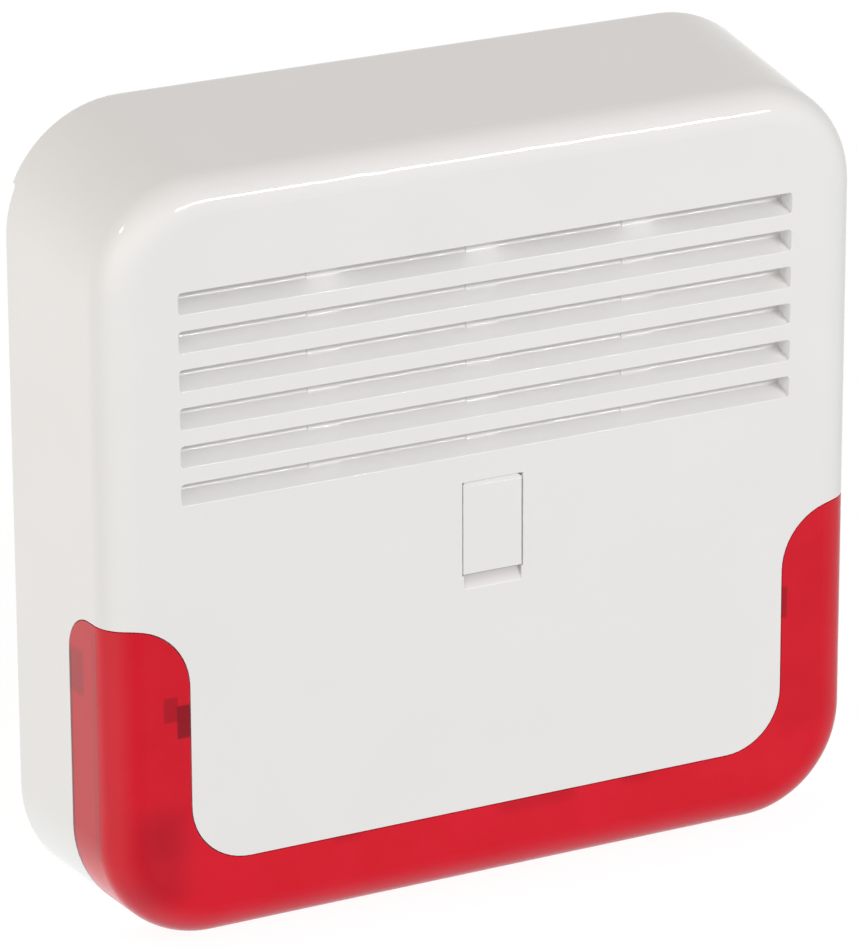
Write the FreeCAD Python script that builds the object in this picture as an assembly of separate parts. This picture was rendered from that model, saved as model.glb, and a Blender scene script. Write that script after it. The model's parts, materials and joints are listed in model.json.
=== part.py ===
import FreeCAD, Part
import math
import os

# Outdoor alarm siren: a wall base that carries the electronics, and a louvred
# cover with a red strobe lens that swings up on two hooks at the top.
# Frame: X right, Y towards the wall, Z up, origin at the centre of the wall face.
# All sizes are in millimetres.

V = FreeCAD.Vector

# Housing
WIDTH = 270.0
HEIGHT = 260.0
LIP_Y = -1.5                 # rear edge of the rain lip along the top
REAR_Y = -3.5                # plane of the housing's widest outline
SKIRT_Y = -4.4               # rear edge of the cover's sides and bottom
FRONT_Y = -67.5              # front face
SHELL_DEPTH = REAR_Y - FRONT_Y
SIDE_DRAFT = 3.5             # how far each wall leans in between rear and front
TOP_DRAFT = 11.0
BOTTOM_DRAFT = 3.3
CORNER_R_REAR = 40.0
CORNER_R_FRONT = 34.5
FRONT_FILLET = 11.5
COVER_WALL = 2.8
LIP_END_Z = 106.8            # the rain lip stops here on the upper corners
LIP_ROUND = 0.9
LIP_END_R = 1.2

# Louvres
SLOT_COUNT = 6
SLOT_PITCH = 12.2
SLOT_HEIGHT = 6.8
SLOT_HALF = 107.0
SLOT_TOP_Z = 86.0
SLOT_CORNER_R = 1.2
SLAT_ANGLE = math.radians(18.5)
SLAT_THICK = 1.7
SLAT_BEND_R = 1.0            # rounding between a slat and its back wall
SLAT_WALL_DEPTH = 7.6        # depth of the back walls behind the front face
SLAT_WALL_BACK = 8.9
SLAT_WALL_TOP = 8.4          # height of a back wall above its slot's lower edge
SLOT_EDGE_R = 0.35           # rounding where the slots break the front face
WEB_X = (-55.0, 0.0, 55.0)
WEB_HALF = 5.5
WEB_PROUD = 0.4              # how far the webs stand out from the back walls
BAFFLE_DEPTH = 10.2
BAFFLE_THICK = 1.5

# Strobe lens, a U along both sides and the bottom
LENS_WALL = 2.2
LENS_TOP_Z = -19.8
LENS_INNER_X = 105.4
LENS_INNER_Z = -101.0
LENS_REAR_Y = REAR_Y - 36.0
LENS_TOP_R = 21.0
LENS_INNER_R = 20.0
LENS_REAR_R = 13.0
LENS_GAP = 0.18              # on each side of the joint line
LEDGE_FROM = 2.4             # the ledge under the lens edge, measured in from the outside
LEDGE_TO = 4.0
LEDGE_WIDTH = 4.0
SIDE_CLIP_Z = -50.0
REAR_CLIP_Z = -38.0
BOTTOM_CLIP_X = 52.0
CLIP_HALF = 5.0
NOTCH_HALF = 7.0             # half width of the gaps that let the clips through

# Screw flap in the middle of the front
RECESS_HALF = 10.8
RECESS_TOP_Z = 9.2
RECESS_BOTTOM_Z = -21.8
RECESS_DEPTH = 2.6
NOTCH_Z = -26.5
FLAP_GAP = 0.45
FLAP_FACE = 0.05
FLAP_THICK = 1.8
FLAP_EDGE_R = 0.25
FLAP_AXIS_DEPTH = 1.3
FLAP_AXIS_Z = 7.3
FLAP_PIN_R = 0.6

# Cover screw, shown backed out of its insert
SCREW_Z = -7.0
SCREW_R = 2.0
SCREW_HEAD_R = 4.1
SCREW_HEAD_H = 3.0
SCREW_HEAD_DEPTH = 3.2
SCREW_TIP_Y = -45.0
SCREW_BORE_END = 13.2
SCREW_TUBE_R = 8.0
SCREW_TUBE_END_Y = -45.0
RUNNING = 0.06               # radial clearance of a running fit

# Hinge hooks at the top
HINGE_Y = -8.0
HINGE_Z = 124.5
HINGE_R = 1.25
HINGE_X = 62.0
HOOK_HALF = 6.0
HINGE_CHEEK = 2.0
HINGE_HALF = 10.0

# Wall base
PLATE_THICK = 3.0
PLATE_HALF = 130.5
PLATE_TOP_Z = 115.5
PLATE_BOTTOM_Z = -126.0
PLATE_TOP_R = 30.0
PLATE_BOTTOM_R = 36.0
RIM_THICK = 2.0
RIM_Y = -9.0
WALL_HOLE_R = 2.75
WALL_HOLE_X = 100.0
WALL_HOLE_Z = (92.0, -28.0)
CABLE_X = -58.0
CABLE_Z = -2.0
CABLE_R = 10.0
CABLE_BORE_R = 4.0
POST_R = 7.0
POST_Y = -44.3
INSERT_R = 3.2
INSERT_LENGTH = 10.0

# Electronics
BOARD_X = (-92.0, -14.0)
BOARD_Z = (-96.0, -18.0)
BOARD_Y = -9.0
BOARD_THICK = 1.6
BOARD_INSET = 4.5
SOUNDER_Z = 56.0
SOUNDER_R = 44.0
GUARD_HALF = 62.0
GUARD_Z = (6.0, 106.0)
GUARD_Y = -50.5
SHEET = 1.0
BATTERY_X = (8.0, 105.0)
BATTERY_Z = (-94.0, -42.0)
BATTERY_Y = (-47.0, -4.0)
STRAP_X = 56.5
STRAP_HALF = 7.0
STRAP_THICK = 0.8

# Strobe boards, a U behind the lens
STROBE_OUTER_X = 124.0
STROBE_INNER_X = 109.0
STROBE_TOP_Z = -26.0
STROBE_INNER_Z = -106.0
STROBE_OUTER_Z = -120.0
STROBE_Y = -30.0
STROBE_WALL = 1.5
STROBE_OUTER_R = 28.0
STROBE_INNER_R = 16.0

# Tamper switches and level
TAMPER_X = 26.0
TAMPER_Z = -20.0
TAMPER_TIP_Y = -46.0
TEAR_X = 66.0
TEAR_Z = -20.0
LEVEL_X = -90.0
LEVEL_Z = 50.0
LEVEL_HALF = 13.0


def box(x0, x1, y0, y1, z0, z1):
    return Part.makeBox(x1 - x0, y1 - y0, z1 - z0, V(x0, y0, z0))


def rod_x(y, z, radius, x0, x1):
    return Part.makeCylinder(radius, x1 - x0, V(x0, y, z), V(1, 0, 0))


def rod_y(x, z, radius, y0, y1):
    return Part.makeCylinder(radius, y1 - y0, V(x, y0, z), V(0, 1, 0))


def ring_y(x, z, outer, inner, y0, y1):
    return rod_y(x, z, outer, y0, y1).cut(rod_y(x, z, inner, y0 - 1, y1 + 1))


def fuse(shapes):
    return shapes[0].fuse(shapes[1:]).removeSplitter()


def in_plane(edge, y):
    """Whether an edge lies in the plane at y."""
    b = edge.BoundBox
    return abs(b.YMin - y) < 1e-4 and abs(b.YMax - y) < 1e-4


def rounded_wire(corners, place):
    """Closed wire through corners (u, v, radius); place turns u, v into a point."""
    arcs = []
    for i, (u, v, radius) in enumerate(corners):
        before = corners[i - 1]
        after = corners[(i + 1) % len(corners)]
        a = V(before[0] - u, before[1] - v, 0).normalize()
        b = V(after[0] - u, after[1] - v, 0).normalize()
        half = a.getAngle(b) / 2
        corner = V(u, v, 0)
        reach = radius / math.tan(half)
        middle = corner + (a + b).normalize() * (radius / math.sin(half) - radius)
        arcs.append((corner + a * reach, middle, corner + b * reach))
    edges = []
    for i, (start, middle, end) in enumerate(arcs):
        following = arcs[(i + 1) % len(arcs)][0]
        if corners[i][2] > 0:
            points = [place(p.x, p.y) for p in (start, middle, end)]
            edges.append(Part.Arc(*points).toShape())
        if (following - end).Length > 1e-6:
            line = Part.LineSegment(place(end.x, end.y), place(following.x, following.y))
            edges.append(line.toShape())
    return Part.Wire(edges)


def prism_y(corners, y0, y1):
    """Outline in X and Z, pushed from y0 to y1."""
    wire = rounded_wire(corners, lambda u, v: V(u, y0, v))
    return Part.Face(wire).extrude(V(0, y1 - y0, 0))


def prism_x(corners, x0, x1):
    """Outline in Y and Z, pushed from x0 to x1."""
    wire = rounded_wire(corners, lambda u, v: V(x0, u, v))
    return Part.Face(wire).extrude(V(x1 - x0, 0, 0))


def turned_y(profile, x, z):
    """Body of revolution about an axis along Y; profile is (radius, y) points."""
    points = [V(x + r, y, z) for r, y in profile]
    face = Part.Face(Part.makePolygon(points + points[:1]))
    return face.revolve(V(x, 0, z), V(0, 1, 0), 360)


def block_corners(x0, x1, z0, z1, radius):
    return [(x0, z0, radius), (x1, z0, radius), (x1, z1, radius), (x0, z1, radius)]


def u_corners(outer_x, inner_x, top, inner_z, outer_z, outer_r, inner_r):
    return [(-outer_x, top, 0), (-inner_x, top, 0), (-inner_x, inner_z, inner_r),
            (inner_x, inner_z, inner_r), (inner_x, top, 0), (outer_x, top, 0),
            (outer_x, outer_z, outer_r), (-outer_x, outer_z, outer_r)]


def pan_screw(x, z, seat_y, shank_end, shank_r=1.5, head_r=2.9, head_h=2.0):
    """Cross-head screw whose head stands in front of seat_y and whose shank goes back."""
    head = rod_y(x, z, head_r, seat_y - head_h, seat_y)
    rim = [e for e in head.Edges if abs(e.CenterOfMass.y - (seat_y - head_h)) < 0.01]
    head = head.makeFillet(head_h * 0.45, rim[:1])
    shank = rod_y(x, z, shank_r, seat_y - 0.1, shank_end)
    slot = head_r * 0.62
    width = head_r * 0.13
    deep = seat_y - head_h + head_h * 0.55
    cross = [box(x - slot, x + slot, seat_y - head_h - 1, deep, z - width, z + width),
             box(x - width, x + width, seat_y - head_h - 1, deep, z - slot, z + slot)]
    return head.fuse(shank).cut(cross)


def save(name, shape):
    shape.exportStep("parts/%s.step" % name)


# ---------------------------------------------------------------- cover shell

def outline(y, inset):
    """Rounded outline of the housing in the plane at y, moved in by inset."""
    t = (REAR_Y - y) / SHELL_DEPTH
    half = WIDTH / 2 - t * SIDE_DRAFT - inset
    top = HEIGHT / 2 - t * TOP_DRAFT - inset
    bottom = -(HEIGHT / 2 - t * BOTTOM_DRAFT - inset)
    radius = CORNER_R_REAR + t * (CORNER_R_FRONT - CORNER_R_REAR) - inset
    return rounded_wire(block_corners(-half, half, bottom, top, radius), lambda u, v: V(u, y, v))


def envelope(inset):
    """Solid inside the housing's outer surface moved in by inset."""
    front = FRONT_Y + inset
    solid = Part.makeLoft([outline(REAR_Y, inset), outline(front, inset)], True, True)
    edges = [e for e in solid.Edges if all(abs(v.Y - front) < 1e-4 for v in e.Vertexes)]
    return solid.makeFillet(FRONT_FILLET - inset, edges)


def rear_prism(inset, y0, y1):
    return Part.Face(outline(REAR_Y, inset).translated(V(0, y0 - REAR_Y, 0))).extrude(V(0, y1 - y0, 0))


def rear_rim():
    """Continues the shell straight back to the plane of the rain lip."""
    solid = rear_prism(0, REAR_Y, LIP_Y)
    edges = [e for e in solid.Edges if all(abs(v.Y - LIP_Y) < 1e-4 for v in e.Vertexes)]
    solid = solid.makeFillet(LIP_ROUND, edges)
    return solid.cut(rear_prism(COVER_WALL, REAR_Y - 1, LIP_Y + 1))


def skirt_cutter():
    """Shortens the cover's sides and bottom, which leaves the rain lip along the top."""
    side_view = [(SKIRT_Y, -HEIGHT, 0), (SKIRT_Y, LIP_END_Z, LIP_END_R), (1.0, LIP_END_Z, 0),
                 (1.0, -HEIGHT, 0)]
    return prism_x(side_view, -WIDTH, WIDTH)


def lens_region(grow):
    """Space taken by the lens, grown or shrunk evenly, reaching past the housing."""
    top = LENS_TOP_Z + grow
    inner_x = LENS_INNER_X - grow
    inner_z = LENS_INNER_Z + grow
    rear = LENS_REAR_Y + grow
    front_view = [(-WIDTH, top, 0), (-inner_x, top, LENS_TOP_R + grow),
                  (-inner_x, inner_z, LENS_INNER_R - grow), (inner_x, inner_z, LENS_INNER_R - grow),
                  (inner_x, top, LENS_TOP_R + grow), (WIDTH, top, 0),
                  (WIDTH, -HEIGHT, 0), (-WIDTH, -HEIGHT, 0)]
    side_view = [(rear, -HEIGHT, 0), (rear, top, LENS_REAR_R + grow),
                 (FRONT_Y - 20, top, 0), (FRONT_Y - 20, -HEIGHT, 0)]
    return prism_y(front_view, FRONT_Y - 20, 0).common(prism_x(side_view, -WIDTH, WIDTH))


def slot_bottom(index):
    return SLOT_TOP_Z - index * SLOT_PITCH - SLOT_HEIGHT


def slot_cutters():
    cutters = []
    for i in range(SLOT_COUNT):
        low = slot_bottom(i)
        corners = block_corners(-SLOT_HALF, SLOT_HALF, low, low + SLOT_HEIGHT, SLOT_CORNER_R)
        cutters.append(prism_y(corners, FRONT_Y - 1, FRONT_Y + COVER_WALL + 1))
    return cutters


def slot_edges(shape):
    """Edges where the slots break the front face."""
    low = slot_bottom(SLOT_COUNT - 1) - 1
    reach = SLOT_HALF + 1
    found = []
    for edge in shape.Edges:
        b = edge.BoundBox
        across = -reach < b.XMin and b.XMax < reach
        if in_plane(edge, FRONT_Y) and across and b.ZMin > low and b.ZMax < SLOT_TOP_Z + 1:
            found.append(edge)
    return found


def slat(low, x0, x1, wall_depth, wall_top):
    """Rain slat that rises inwards from a slot's lower edge and turns up into a back wall."""
    slope = math.tan(SLAT_ANGLE)
    thick = SLAT_THICK / math.cos(SLAT_ANGLE)
    corner = V(wall_depth, wall_depth * slope, 0)
    tangent = SLAT_BEND_R / math.tan((math.pi / 2 + SLAT_ANGLE) / 2)
    bend_start = corner - V(math.cos(SLAT_ANGLE), math.sin(SLAT_ANGLE), 0) * tangent
    bend_end = corner + V(0, tangent, 0)
    centre = bend_end - V(SLAT_BEND_R, 0, 0)
    bend_middle = centre + (corner - centre).normalize() * SLAT_BEND_R
    back = SLAT_WALL_BACK
    underside = [V(back, wall_top, 0), V(back, back * slope - thick, 0), V(SLOT_EDGE_R, -thick, 0),
                 V(SLOT_EDGE_R, 0, 0)]

    def place(p):
        return V(x0, FRONT_Y + p.x, low + p.y)

    edges = [Part.Arc(place(bend_start), place(bend_middle), place(bend_end)).toShape()]
    loop = [bend_end, V(wall_depth, wall_top, 0)] + underside + [bend_start]
    edges += [Part.LineSegment(place(p), place(q)).toShape() for p, q in zip(loop, loop[1:])]
    return Part.Face(Part.Wire(edges)).extrude(V(x1 - x0, 0, 0))


def louvre_block():
    """Slats with their back walls, the end cheeks, and the webs that tie the walls together."""
    low = slot_bottom(SLOT_COUNT - 1) - 3
    high = SLOT_TOP_Z + 2
    inner = FRONT_Y + COVER_WALL - 0.5
    shapes = []
    for i in range(SLOT_COUNT):
        bottom = slot_bottom(i)
        shapes.append(slat(bottom, -SLOT_HALF - 0.5, SLOT_HALF + 0.5, SLAT_WALL_DEPTH, SLAT_WALL_TOP))
        web_top = min(SLOT_PITCH + SLAT_THICK, high - bottom)
        for x in WEB_X:
            shapes.append(slat(bottom, x - WEB_HALF, x + WEB_HALF, SLAT_WALL_DEPTH - WEB_PROUD, web_top))
    for side in (-1, 1):
        x0, x1 = sorted((side * SLOT_HALF, side * (SLOT_HALF + 2)))
        shapes.append(box(x0, x1, inner, FRONT_Y + SLAT_WALL_BACK, low, high))
    for x in WEB_X:
        shapes.append(box(x - WEB_HALF, x + WEB_HALF, inner, FRONT_Y + SLAT_WALL_BACK, high - 2, high))
    return shapes


def screw_cup():
    """Solid block behind the flap and the tube that guides the cover screw."""
    block = box(-14, 14, FRONT_Y + 1, FRONT_Y + 7.8, NOTCH_Z - 0.5, RECESS_TOP_Z + 2.4)
    tube = rod_y(0, SCREW_Z, SCREW_TUBE_R, FRONT_Y + 7, SCREW_TUBE_END_Y)
    return [block, tube]


def screw_cup_cutters():
    floor = FRONT_Y + RECESS_DEPTH
    recess = box(-RECESS_HALF, RECESS_HALF, FRONT_Y - 1, floor, RECESS_BOTTOM_Z, RECESS_TOP_Z)
    swing = box(-RECESS_HALF, RECESS_HALF, FRONT_Y, FRONT_Y + 3.6, FLAP_AXIS_Z - 2, RECESS_TOP_Z)
    notch = prism_x([(FRONT_Y - 1, NOTCH_Z - 2.3, 0), (FRONT_Y + 2.0, RECESS_BOTTOM_Z, 0),
                     (FRONT_Y - 1, RECESS_BOTTOM_Z, 0)], -RECESS_HALF + 0.6, RECESS_HALF - 0.6)
    pins = rod_x(FRONT_Y + FLAP_AXIS_DEPTH, FLAP_AXIS_Z, FLAP_PIN_R + RUNNING,
                 -RECESS_HALF - 1.2, RECESS_HALF + 1.2)
    counterbore = rod_y(0, SCREW_Z, SCREW_HEAD_R + 0.4, FRONT_Y, FRONT_Y + SCREW_BORE_END)
    through = rod_y(0, SCREW_Z, SCREW_R + 0.3, FRONT_Y, SCREW_TUBE_END_Y + 1)
    return [recess, swing, notch, pins, counterbore, through]


def hinge_lugs():
    """Pins on cheeks under the top wall; they hang in the base's hooks."""
    shapes = []
    for side in (-1, 1):
        centre = side * HINGE_X
        shapes.append(rod_x(HINGE_Y, HINGE_Z, HINGE_R, centre - HINGE_HALF, centre + HINGE_HALF))
        for end in (-HINGE_HALF, HINGE_HALF - HINGE_CHEEK):
            x0 = centre + end
            plate = prism_x([(HINGE_Y - 2.2, HINGE_Z - 2.1, 1.5), (HINGE_Y + 2.2, HINGE_Z - 2.1, 1.5),
                             (HINGE_Y + 2.2, 127.6, 0), (HINGE_Y - 2.2, 127.6, 0)], x0, x0 + HINGE_CHEEK)
            shapes.append(plate)
    return shapes


def cover_bosses():
    """Posts for the baffle and the presser for the tamper plunger."""
    inner = FRONT_Y + COVER_WALL - 0.5
    shapes = [rod_y(x, z, 3.0, inner, BAFFLE_Y) for x, z in BAFFLE_POSTS]
    shapes.append(rod_y(TAMPER_X, TAMPER_Z, 3.5, inner, TAMPER_TIP_Y - 0.1))
    for x in (-3.5, 3.5):
        x0 = TAMPER_X + x - 0.8
        shapes.append(box(x0, x0 + 1.6, inner, FRONT_Y + 12, TAMPER_Z - 6, TAMPER_Z + 6))
    return shapes


def clip_notches():
    """Gaps in the ledge that let the lens's clips through."""
    inner = FRONT_Y + LEDGE_FROM - 0.2
    cutters = []
    for side in (-1, 1):
        x0, x1 = sorted((side * (LENS_INNER_X - 0.1), side * (LENS_INNER_X + LEDGE_WIDTH + 1)))
        cutters.append(box(x0, x1, inner, inner + 4,
                           SIDE_CLIP_Z - NOTCH_HALF, SIDE_CLIP_Z + NOTCH_HALF))
        x0, x1 = sorted((side * 126.0, side * 130.75))
        cutters.append(box(x0, x1, LENS_REAR_Y - 6.5, LENS_REAR_Y + 4.5,
                           REAR_CLIP_Z - NOTCH_HALF, REAR_CLIP_Z + NOTCH_HALF))
        centre = side * BOTTOM_CLIP_X
        cutters.append(box(centre - NOTCH_HALF, centre + NOTCH_HALF, inner, inner + 4,
                           LENS_INNER_Z - LEDGE_WIDTH - 1, LENS_INNER_Z + 0.1))
    return cutters


BAFFLE_Y = FRONT_Y + BAFFLE_DEPTH
BAFFLE_POSTS = [(x, z) for x in (-114.0, 114.0) for z in (26.0, 78.0)]


def front_cover():
    outer = envelope(0).fuse(rear_rim()).cut(skirt_cutter())
    shell = outer.cut(envelope(COVER_WALL))
    shell = shell.cut(lens_region(LENS_GAP))
    ledge = envelope(LEDGE_FROM).cut(envelope(LEDGE_TO))
    band = lens_region(LEDGE_WIDTH).cut(lens_region(-LEDGE_WIDTH))
    ledge = ledge.common(band).cut(clip_notches())
    shell = shell.fuse(ledge)
    shell = shell.cut(slot_cutters())
    shell = shell.makeFillet(SLOT_EDGE_R, slot_edges(shell))
    shell = shell.fuse(louvre_block() + screw_cup() + hinge_lugs() + cover_bosses())
    shell = shell.cut(screw_cup_cutters())
    pilots = [rod_y(x, z, 1.3, FRONT_Y + 4, BAFFLE_Y + 1) for x, z in BAFFLE_POSTS]
    return shell.cut(pilots)


def strobe_lens():
    body = envelope(0).cut(envelope(LENS_WALL)).common(lens_region(-LENS_GAP))
    clips = []
    inner = FRONT_Y + LENS_WALL - 0.3
    for side in (-1, 1):
        x0, x1 = sorted((side * (LENS_INNER_X + 0.8), side * (LENS_INNER_X + 2.4)))
        clips.append(box(x0, x1, inner, FRONT_Y + 8, SIDE_CLIP_Z - CLIP_HALF, SIDE_CLIP_Z + CLIP_HALF))
        hook = sorted((side * (LENS_INNER_X - 0.6), side * (LENS_INNER_X + 1.5)))
        clips.append(box(hook[0], hook[1], FRONT_Y + 4.4, FRONT_Y + 6.4,
                         SIDE_CLIP_Z - CLIP_HALF, SIDE_CLIP_Z + CLIP_HALF))
        arm = sorted((side * 128.4, side * 129.8))
        clips.append(box(arm[0], arm[1], LENS_REAR_Y - 6, LENS_REAR_Y + 5,
                         REAR_CLIP_Z - CLIP_HALF, REAR_CLIP_Z + CLIP_HALF))
        root = sorted((side * 128.4, side * 131.4))
        clips.append(box(root[0], root[1], LENS_REAR_Y - 6, LENS_REAR_Y - 2,
                         REAR_CLIP_Z - CLIP_HALF, REAR_CLIP_Z + CLIP_HALF))
        centre = side * BOTTOM_CLIP_X
        low = LENS_INNER_Z - 2.4
        clips.append(box(centre - CLIP_HALF, centre + CLIP_HALF, inner, FRONT_Y + 8, low, low + 1.6))
        clips.append(box(centre - CLIP_HALF, centre + CLIP_HALF, FRONT_Y + 4.4, FRONT_Y + 6.4,
                         low + 0.8, LENS_INNER_Z + 0.6))
    return fuse([body] + clips)


def louvre_baffle():
    """Splash plate behind the slats, with its sound slots out of the rain's path."""
    corners = block_corners(-118, 118, slot_bottom(SLOT_COUNT - 1) - 6, SLOT_TOP_Z + 4, 3)
    plate = prism_y(corners, BAFFLE_Y, BAFFLE_Y + BAFFLE_THICK)
    cutters = [rod_y(x, z, 1.6, BAFFLE_Y - 1, BAFFLE_Y + 3) for x, z in BAFFLE_POSTS]
    for i in range(SLOT_COUNT):
        top = SLOT_TOP_Z - i * SLOT_PITCH
        for x in (-80.0, -27.0, 27.0, 80.0):
            slot = block_corners(x - 22, x + 22, top - 3.0, top + 1.0, 1.9)
            cutters.append(prism_y(slot, BAFFLE_Y - 1, BAFFLE_Y + 3))
    return plate.cut(cutters)


def baffle_screws():
    seat = BAFFLE_Y + BAFFLE_THICK
    screws = []
    for x, z in BAFFLE_POSTS:
        screw = pan_screw(x, z, -seat, -seat + 5, shank_r=1.25, head_r=2.6, head_h=1.6)
        screws.append(screw.mirror(V(0, 0, 0), V(0, 1, 0)))
    return Part.makeCompound(screws)


def screw_flap():
    half = RECESS_HALF - FLAP_GAP
    face = FRONT_Y + FLAP_FACE
    back = face + FLAP_THICK
    top = RECESS_TOP_Z - 0.5
    corners = [(-half, RECESS_BOTTOM_Z + 0.35, 0.3), (half, RECESS_BOTTOM_Z + 0.35, 0.3),
               (half, top, 1.4), (-half, top, 1.4)]
    plate = prism_y(corners, face, back)
    bevel = prism_x([(face - 1, top + 1, 0), (face - 1, top - 2.1, 0), (face + 1.3, top + 0.2, 0)],
                    -20, 20)
    plate = plate.cut(bevel)
    plate = plate.makeFillet(FLAP_EDGE_R, [e for e in plate.Edges if in_plane(e, face)])
    reach = RECESS_HALF + 1.0
    pin = rod_x(FRONT_Y + FLAP_AXIS_DEPTH, FLAP_AXIS_Z, FLAP_PIN_R, -reach, reach)
    rib = box(-8, 8, back - 0.1, back + 0.5, RECESS_BOTTOM_Z + 2, RECESS_BOTTOM_Z + 3)
    return fuse([plate, pin, rib])


def cover_screw():
    seat = FRONT_Y + SCREW_HEAD_DEPTH + SCREW_HEAD_H
    return pan_screw(0, SCREW_Z, seat, SCREW_TIP_Y, SCREW_R, SCREW_HEAD_R, SCREW_HEAD_H)


def screw_ring():
    seat = FRONT_Y + SCREW_HEAD_DEPTH + SCREW_HEAD_H
    return ring_y(0, SCREW_Z, SCREW_R + 1.4, SCREW_R, seat, seat + 1.4)


# ----------------------------------------------------------------- wall base

STRAP_FEET_Z = (BATTERY_Z[0] - 5.5, BATTERY_Z[1] + 5.5)
STRAP_FOOT_Y = -12.0
BOARD_HOLES = [(x, z) for x in (BOARD_X[0] + BOARD_INSET, BOARD_X[1] - BOARD_INSET)
               for z in (BOARD_Z[0] + BOARD_INSET, BOARD_Z[1] - BOARD_INSET)]
GUARD_FEET = [(x, z) for x in (-GUARD_HALF - 7, GUARD_HALF + 7)
              for z in (GUARD_Z[0] + 16, GUARD_Z[1] - 16)]
GUARD_FOOT_Y = -8.0
SOUNDER_EARS = [(48 * math.cos(math.radians(a)), SOUNDER_Z + 48 * math.sin(math.radians(a)))
                for a in (30, 150, 270)]
STROBE_POSTS = [(-116.5, -32.0), (116.5, -32.0), (-116.5, -84.0), (116.5, -84.0),
                (-64.0, -113.0), (0.0, -113.0), (64.0, -113.0)]
WALL_HOLES = [(x, z) for x in (-WALL_HOLE_X, WALL_HOLE_X) for z in WALL_HOLE_Z]


def plate_outline(inset):
    return [(-PLATE_HALF + inset, PLATE_BOTTOM_Z + inset, PLATE_BOTTOM_R - inset),
            (PLATE_HALF - inset, PLATE_BOTTOM_Z + inset, PLATE_BOTTOM_R - inset),
            (PLATE_HALF - inset, PLATE_TOP_Z - inset, PLATE_TOP_R - inset),
            (-PLATE_HALF + inset, PLATE_TOP_Z - inset, PLATE_TOP_R - inset)]


def hooks():
    """Two upward hooks that cradle the cover's hinge pins."""
    shapes = []
    for side in (-1, 1):
        x0 = side * HINGE_X - HOOK_HALF
        x1 = side * HINGE_X + HOOK_HALF
        arm = [(-2.0, 106.0, 0), (-2.0, PLATE_TOP_Z, 0), (-6.4, PLATE_TOP_Z + 1.0, 0),
               (-6.4, HINGE_Z - 1.3, 0), (HINGE_Y, HINGE_Z - 1.3, 0), (HINGE_Y, HINGE_Z + 0.4, 0),
               (-11.5, HINGE_Z + 0.4, 0.8), (-11.5, 112.0, 2.0), (-5.0, 106.0, 2.0)]
        hook = prism_x(arm, x0, x1)
        cradle = rod_x(HINGE_Y, HINGE_Z, HINGE_R + RUNNING, x0 - 1, x1 + 1)
        mouth = box(x0 - 1, x1 + 1, HINGE_Y - HINGE_R - RUNNING, HINGE_Y + 3, HINGE_Z, HINGE_Z + 2)
        shapes.append(hook.cut([cradle, mouth]))
    return shapes


def stiffening_ribs():
    """Low ribs that tie the rim, the post and the bosses together."""
    shapes = [box(-114, 114, -6.5, -2.5, z, z + 1.6) for z in (-102.0, 108.0)]
    shapes += [box(x, x + 1.6, -6.5, -2.5, -40.0, 110.0) for x in (-106.8, 105.2)]
    shapes += [box(x, x + 1.6, -6.5, -2.5, -124.0, -102.0) for x in (-91.0, -30.8, 29.2, 90.0)]
    return shapes


def battery_ledges():
    """Low walls that keep the battery in place."""
    x0, x1 = BATTERY_X
    z0, z1 = BATTERY_Z
    shapes = [box(x0 - 2.3, x0 - 0.3, -16, -2.5, z0, z0 + 22),
              box(x1 + 0.3, x1 + 2.3, -12, -2.5, z0, z0 + 22)]
    for x in (x0 + 6, x1 - 30):
        shapes.append(box(x, x + 24, -16, -2.5, z0 - 2.3, z0 - 0.3))
        shapes.append(box(x, x + 14, -16, -2.5, z1 + 0.3, z1 + 2.3))
    return shapes


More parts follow.
